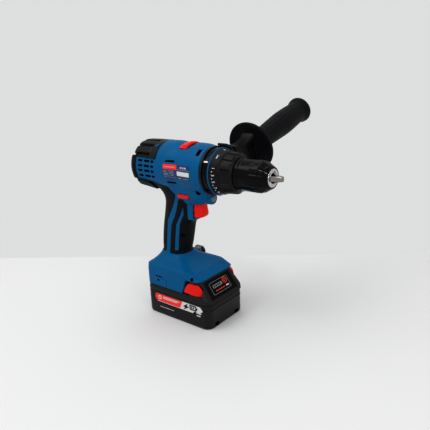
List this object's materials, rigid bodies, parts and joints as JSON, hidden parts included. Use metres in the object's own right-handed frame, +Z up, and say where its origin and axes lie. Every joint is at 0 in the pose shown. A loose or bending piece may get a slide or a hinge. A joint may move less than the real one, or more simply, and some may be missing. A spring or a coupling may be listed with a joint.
{
  "type": "cordless drill driver",
  "caption": "Pistol-grip cordless drill driver with keyless chuck, torque collar, slide-on battery pack and a clamped side handle.",
  "frame": {"origin": "middle of the battery's flat base, on the tool's centre plane", "axes": "+X forward along the chuck, +Y to the tool's left where the side handle stands, +Z up"},
  "size_m": [0.2168, 0.2464, 0.2787],
  "materials": {
    "blue_plastic": "fine moulded texture",
    "black_plastic": "fine moulded texture",
    "black_rubber": "soft matte overmould",
    "gloss_black": "polished",
    "red_plastic": "satin",
    "white_plastic": "printed",
    "steel": "ground",
    "chrome": "polished",
    "dark_steel": "black oxide",
    "copper": "lacquered windings",
    "brass": "bright",
    "clear_lens": "clear",
    "board_green": "solder mask",
    "cell_wrap": "shrink wrap"
  },
  "bodies": {
    "tool": {"housing_right": "blue_plastic", "housing_left": "blue_plastic", "back_grip_right": "black_rubber", "back_grip_left": "black_rubber", "front_grip_right": "black_rubber", "front_grip_left": "black_rubber", "rear_cap": "black_plastic", "motor_stator": "dark_steel", "rear_bearing": "steel", "front_bearing": "steel", "gearbox_case": "dark_steel", "ring_gear": "steel", "nose_collar": "gloss_black", "trim_ring": "blue_plastic", "index_pointer": "white_plastic", "clutch_plate": "steel", "clutch_spring": "steel", "spindle_bearing": "steel", "switch_module": "black_plastic", "trigger_spring": "steel", "led_lens": "clear_lens", "control_board": "board_green", "terminal_block": "brass", "housing_screw_chin": "dark_steel", "housing_screw_tang": "dark_steel", "housing_screw_handle": "dark_steel", "housing_screw_foot": "dark_steel", "belt_clip": "steel", "belt_clip_screw": "dark_steel"},
    "trigger": {"trigger": "red_plastic"},
    "direction": {"direction_selector": "red_plastic"},
    "gear": {"gear_selector": "red_plastic"},
    "rotor": {"motor_rotor": "copper", "motor_shaft": "steel", "cooling_fan": "black_plastic", "sun_gear": "steel"},
    "planet_1": {"planet_gear_1": "steel"},
    "planet_2": {"planet_gear_2": "steel"},
    "planet_3": {"planet_gear_3": "steel"},
    "spindle": {"planet_carrier": "steel", "spindle": "steel", "chuck_body": "chrome", "chuck_screw": "steel"},
    "sleeve": {"chuck_sleeve": "gloss_black", "chuck_nut": "steel"},
    "jaw_1": {"chuck_jaw_1": "steel"},
    "jaw_2": {"chuck_jaw_2": "steel"},
    "jaw_3": {"chuck_jaw_3": "steel"},
    "collar": {"torque_collar": "black_plastic"},
    "battery": {"battery_case_lower": "black_plastic", "battery_case_upper": "black_plastic", "cell_pack": "cell_wrap", "battery_board": "board_green"},
    "button_right": {"release_button_right": "red_plastic"},
    "button_left": {"release_button_left": "red_plastic"},
    "handle": {"clamp_band": "dark_steel", "clamp_block": "black_plastic", "clamp_bolt": "steel"},
    "grip": {"side_grip": "black_rubber", "grip_end_cap": "black_plastic"}
  },
  "joints": [
    {"name": "trigger_pull", "type": "slide", "parent": "tool", "child": "trigger", "axis": [-1, 0, 0], "range_m": [0, 0.006], "stiffness_N_per_m": 900, "springref_m": -0.004},
    {"name": "direction_slide", "type": "slide", "parent": "tool", "child": "direction", "axis": [0, 1, 0], "range_m": [-0.003, 0.003]},
    {"name": "gear_shift", "type": "slide", "parent": "tool", "child": "gear", "axis": [1, 0, 0], "range_m": [0, 0.006]},
    {"name": "spindle_spin", "type": "hinge", "parent": "tool", "child": "spindle", "pos_m": [0.0169, 0, 0.206], "axis": [1, 0, 0], "continuous": true},
    {"name": "rotor_spin", "type": "hinge", "parent": "tool", "child": "rotor", "pos_m": [0, 0, 0.206], "axis": [1, 0, 0], "continuous": true},
    {"name": "planet_1_spin", "type": "hinge", "parent": "spindle", "child": "planet_1", "pos_m": [0.0073, 0, 0.2195], "axis": [1, 0, 0], "continuous": true},
    {"name": "planet_2_spin", "type": "hinge", "parent": "spindle", "child": "planet_2", "pos_m": [0.0073, -0.01169, 0.19925], "axis": [1, 0, 0], "continuous": true},
    {"name": "planet_3_spin", "type": "hinge", "parent": "spindle", "child": "planet_3", "pos_m": [0.0073, 0.01169, 0.19925], "axis": [1, 0, 0], "continuous": true},
    {"name": "sleeve_turn", "type": "hinge", "parent": "spindle", "child": "sleeve", "pos_m": [0.0872, 0, 0.206], "axis": [1, 0, 0], "range_deg": [0, 1080]},
    {"name": "jaw_1_slide", "type": "slide", "parent": "spindle", "child": "jaw_1", "axis": [-0.9659, 0.1294, 0.2241], "range_m": [0, 0.02]},
    {"name": "jaw_2_slide", "type": "slide", "parent": "spindle", "child": "jaw_2", "axis": [-0.9659, -0.2588, 0], "range_m": [0, 0.02]},
    {"name": "jaw_3_slide", "type": "slide", "parent": "spindle", "child": "jaw_3", "axis": [-0.9659, 0.1294, -0.2241], "range_m": [0, 0.02]},
    {"name": "torque_turn", "type": "hinge", "parent": "tool", "child": "collar", "pos_m": [0.0582, 0, 0.206], "axis": [1, 0, 0], "range_deg": [0, 320]},
    {"name": "battery_slide", "type": "slide", "parent": "tool", "child": "battery", "axis": [1, 0, 0], "range_m": [0, 0.1]},
    {"name": "button_right_press", "type": "slide", "parent": "battery", "child": "button_right", "axis": [0, 1, 0], "range_m": [0, 0.003], "stiffness_N_per_m": 1500, "springref_m": -0.002},
    {"name": "button_left_press", "type": "slide", "parent": "battery", "child": "button_left", "axis": [0, -1, 0], "range_m": [0, 0.003], "stiffness_N_per_m": 1500, "springref_m": -0.002},
    {"name": "handle_swing", "type": "hinge", "parent": "tool", "child": "handle", "pos_m": [0.0511, 0, 0.206], "axis": [1, 0, 0], "range_deg": [-50, 100]},
    {"name": "grip_turn", "type": "hinge", "parent": "handle", "child": "grip", "pos_m": [0.0511, 0.06948, 0.22488], "axis": [0, 0.965, 0.2622], "range_deg": [0, 720]}
  ],
  "couplings": [
    {"joint": "rotor_spin", "follows": "spindle_spin", "ratio": 4.5},
    {"joint": "planet_1_spin", "follows": "spindle_spin", "ratio": -2.8},
    {"joint": "planet_2_spin", "follows": "spindle_spin", "ratio": -2.8},
    {"joint": "planet_3_spin", "follows": "spindle_spin", "ratio": -2.8},
    {"joint": "jaw_2_slide", "follows": "jaw_1_slide", "ratio": 1},
    {"joint": "jaw_3_slide", "follows": "jaw_1_slide", "ratio": 1},
    {"joint": "sleeve_turn", "follows": "jaw_1_slide", "rad_per_m": 942.47}
  ]
}
